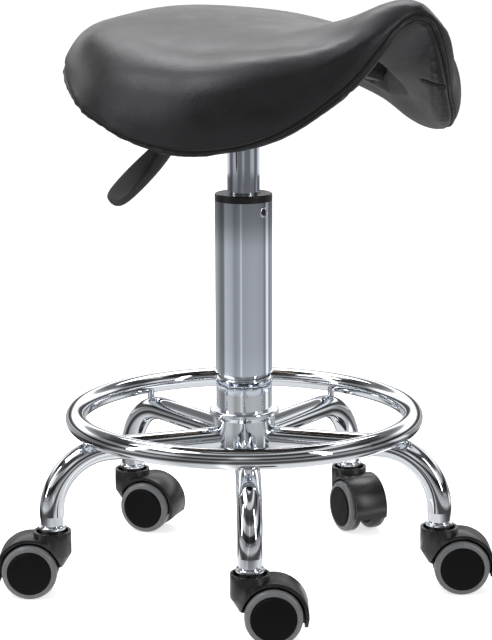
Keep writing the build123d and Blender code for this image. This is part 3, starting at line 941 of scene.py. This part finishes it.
def makeDimple():
    middle = nodeMiddle("cover_screw")
    facing = Vector((middle.x, middle.y, 0)).normalized()
    coverLow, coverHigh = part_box("column_cover")
    coverRadius = (coverHigh[0] - coverLow[0]) / 2
    deselectAll()
    bpy.ops.mesh.primitive_circle_add(vertices=dimple["sides"], radius=dimple["radius"], fill_type="NGON",
                                      location=(0, 0, 0))
    dish = bpy.context.object
    dish.name = "coverDimple"
    editAll(dish)
    for thickness, depth in dimple["insets"]:
        bpy.ops.mesh.inset(thickness=thickness, depth=depth)
    leaveEdit()
    side = Vector((0, 0, 1)).cross(facing)
    for v in dish.data.vertices:  # wrapped round the cover
        x, y, z = v.co
        angle = x / coverRadius
        flat = facing * math.cos(angle) + side * math.sin(angle)
        v.co = flat * (coverRadius - dimple["sunk"] + z) + Vector((0, 0, middle.z + y))
    bevelEdges(dish, dimple["soften"], dimple["softenFrom"])
    shadeByAngle(dish, dimple["smooth"])
    # the dimple's rim takes the column copy with its painted bluish reflection tint
    dish.data.materials.append(columnChromeReflectionTint)
    dish.data.materials.append(plateBlack)
    for poly in dish.data.polygons:
        away = poly.center - facing * poly.center.dot(facing) - Vector((0, 0, middle.z))
        if away.length < dimple["radius"] * dimple["blackShare"]:
            poly.material_index = 1
    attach(dish, "base")
    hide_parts("cover_screw")


makeDimple()
print("cover dimple pressed")

# camera at the photograph's viewing angle
photoView = {"turn": 47.8, "swing": -0.092, "reach": 1.83, "height": 0.6096, "aimDown": 11.715, "roll": 0.169,
             "lens": 120.0, "sensor": 36.0, "far": 50}


def makeCamera():
    turn = math.radians(photoView["turn"])
    place = (math.sin(turn) * photoView["reach"], -math.cos(turn) * photoView["reach"], photoView["height"])
    bpy.ops.object.camera_add(location=place)
    camera = bpy.context.object
    camera.rotation_euler = (math.radians(90 - photoView["aimDown"]), math.radians(photoView["roll"]),
                             turn + math.radians(photoView["swing"]))
    camera.data.lens = photoView["lens"]
    camera.data.sensor_width = photoView["sensor"]
    camera.data.clip_end = photoView["far"]
    bpy.context.scene.camera = camera


deselectAll()
makeCamera()

# floor and light
studio = {"floor": 40.0, "floorTone": (0.93, 0.93, 0.94), "darker": 0.99, "floorScale": 2.0, "floorRough": 0.8,
          "ambient": 0.45, "glow": 0.62}


def seenRays(tree):
    rays = addNode(tree, "ShaderNodeLightPath")
    some = addNode(tree, "ShaderNodeMath", operation="MAXIMUM")
    tree.links.new(rays.outputs["Is Camera Ray"], some.inputs[0])
    tree.links.new(rays.outputs["Is Glossy Ray"], some.inputs[1])
    seen = addNode(tree, "ShaderNodeMath", operation="MAXIMUM")
    tree.links.new(some.outputs["Value"], seen.inputs[0])
    tree.links.new(rays.outputs["Is Transmission Ray"], seen.inputs[1])
    return seen.outputs["Value"]


def makeFloor():
    bpy.ops.mesh.primitive_plane_add(size=studio["floor"], location=(0, 0, 0))
    floor = bpy.context.object
    floor.name = "studioFloor"
    mat, tree, shader = newMaterial("paleFloor")
    tone = noiseTexture(tree, objectCoords(tree), studio["floorScale"])
    pale = studio["floorTone"]
    colourFrom(tree, shader, tone, tuple(c * studio["darker"] for c in pale), pale)
    shader.inputs["Roughness"].default_value = studio["floorRough"]
    shader.inputs["Emission Color"].default_value = (1, 1, 1, 1)
    tree.links.new(spread(tree, seenRays(tree), 0.0, studio["glow"], 0.0, 1.0), shader.inputs["Emission Strength"])
    floor.data.materials.append(mat)


def makeWorld():
    world = bpy.data.worlds.new("paleStudio")
    bpy.context.scene.world = world
    world.use_nodes = True
    tree = world.node_tree
    backing = tree.nodes["Background"]
    backing.inputs["Color"].default_value = (1, 1, 1, 1)
    tree.links.new(spread(tree, seenRays(tree), studio["ambient"], 1.0, 0.0, 1.0), backing.inputs["Strength"])


# reflection cards: tones by share of a turn, with the camera's side at a half, then by share of height or reach
cards = {
    "wallReach": 2.6, "wallHigh": 2.4, "flagLift": 0.003, "sides": 96,
    "wallTurn": [(0.0, 1.5), (0.15, 1.5), (0.2, 0.3), (0.26, 0.25), (0.3, 0.9), (0.36, 0.9), (0.4, 0.3), (0.47, 0.35),
                 (0.49, 0.9), (0.53, 0.35), (0.62, 0.3), (0.66, 0.9), (0.7, 0.9), (0.74, 0.25), (0.8, 0.3),
                 (0.85, 1.5), (1.0, 1.5)],
    "wallRise": [(0.0, 0.5), (0.06, 0.4), (0.1, 0.06), (0.26, 0.06), (0.32, 0.9), (0.56, 1.1), (0.64, 0.3),
                 (0.8, 0.12), (1.0, 0.12)],
    "roofTurn": [(0.0, 1.0), (0.2, 0.6), (0.3, 1.0), (0.5, 0.6), (0.7, 1.0), (0.85, 0.6), (1.0, 1.0)],
    "roofReach": [(0.0, 1.2), (0.18, 1.2), (0.24, 0.1), (0.42, 0.1), (0.5, 0.9), (0.66, 0.9), (0.74, 0.1), (1.0, 0.1)],
    "flagTurn": [(0.0, 1.0), (0.12, 1.0), (0.2, 0.5), (0.25, 0.4), (0.28, 1.3), (0.36, 1.1), (0.4, 0.7), (0.455, 0.9),
                 (0.47, 1.7), (0.485, 0.9), (0.62, 1.0), (0.72, 0.9), (0.765, 0.5), (0.785, 2.2), (0.815, 2.2),
                 (0.83, 0.6), (0.9, 1.0), (1.0, 1.0)],
    "flagReach": [(0.0, 0.9), (0.09, 0.85), (0.12, 0.08), (0.17, 0.08), (0.2, 0.55), (0.3, 0.5), (0.36, 0.42),
                  (0.66, 0.4), (0.76, 0.2), (1.0, 0.12)],
}


def rampOf(tree, value, stops):
    ramp = addNode(tree, "ShaderNodeValToRGB")
    band = ramp.color_ramp
    while len(band.elements) < len(stops):
        band.elements.new(0.5)
    top = max(tone for place, tone in stops)
    for element, (place, tone) in zip(band.elements, stops):
        element.position = place
        element.color = (tone / top, tone / top, tone / top, 1)
    tree.links.new(value, ramp.inputs["Fac"])
    return ramp.outputs["Color"], top


def cardFinish(card, name, turnStops, farStops, upright=False):
    card.name = name
    card.rotation_euler.z = math.radians(photoView["turn"] - 90)
    mat, tree, shader = newMaterial(name + "Grey")
    tree.nodes.remove(shader)
    coords = objectCoords(tree)
    around = addNode(tree, "ShaderNodeTexGradient", gradient_type="RADIAL")
    tree.links.new(coords, around.inputs["Vector"])
    tone, power = rampOf(tree, around.outputs["Fac"], turnStops)
    if upright:
        parts = addNode(tree, "ShaderNodeSeparateXYZ")
        tree.links.new(coords, parts.inputs["Vector"])
        share = spread(tree, parts.outputs["Z"], 0.0, 1.0, -cards["wallHigh"] / 2, cards["wallHigh"] / 2)
    else:
        out = addNode(tree, "ShaderNodeVectorMath", operation="LENGTH")
        tree.links.new(coords, out.inputs[0])
        share = spread(tree, out.outputs["Value"], 0.0, 1.0, 0.0, cards["wallReach"])
    far, farPower = rampOf(tree, share, farStops)
    both = addNode(tree, "ShaderNodeMix", data_type="RGBA", blend_type="MULTIPLY")
    both.inputs["Factor"].default_value = 1.0
    tree.links.new(tone, both.inputs["A"])
    tree.links.new(far, both.inputs["B"])
    glow = addNode(tree, "ShaderNodeEmission")
    tree.links.new(both.outputs["Result"], glow.inputs["Color"])
    glow.inputs["Strength"].default_value = power * farPower
    tree.links.new(glow.outputs["Emission"], tree.nodes["Material Output"].inputs["Surface"])
    card.data.materials.append(mat)
    card.visible_camera = False
    card.visible_shadow = False
    card.visible_diffuse = False


def makeCards():  # studio wall, floor and roof cards that only reflections see
    deselectAll()
    bpy.ops.mesh.primitive_cylinder_add(vertices=cards["sides"], radius=cards["wallReach"], depth=cards["wallHigh"],
                                        end_fill_type="NOTHING", location=(0, 0, cards["wallHigh"] / 2))
    cardFinish(bpy.context.object, "studioWall", cards["wallTurn"], cards["wallRise"], True)
    for name, kind, high in (("floorCard", "flag", cards["flagLift"]), ("roofCard", "roof", cards["wallHigh"])):
        deselectAll()
        bpy.ops.mesh.primitive_circle_add(vertices=cards["sides"], radius=cards["wallReach"], fill_type="NGON",
                                          location=(0, 0, high))
        cardFinish(bpy.context.object, name, cards[kind + "Turn"], cards[kind + "Reach"])


lamps = {  # place, aim, width, height, power
    "keySoftbox": ((-0.6, -1.2, 2.2), (0, 0, 0.35), 1.4, 1.0, 20.0),
    "sideStrip": ((2.0, 0.3, 1.0), (0, 0, 0.3), 0.25, 1.6, 9.0),
    "leftStrip": ((-0.9, -1.9, 0.9), (0, 0, 0.3), 0.2, 1.5, 7.0),
    "backTop": ((-0.75, 0.75, 2.2), (0, 0, 0.45), 2.0, 1.5, 40.0),
}


def makeLamps():
    for name, (place, aim, width, height, power) in lamps.items():
        bpy.ops.object.light_add(type="AREA", location=place)
        lamp = bpy.context.object
        lamp.name = name
        lamp.data.shape = "RECTANGLE"
        lamp.data.size = width
        lamp.data.size_y = height
        lamp.data.energy = power
        lamp.rotation_euler = (Vector(aim) - Vector(place)).to_track_quat("-Z", "Y").to_euler()


makeFloor()
makeWorld()
makeCards()
makeLamps()
bpy.context.scene.view_settings.view_transform = "Standard"
print("studio ready")
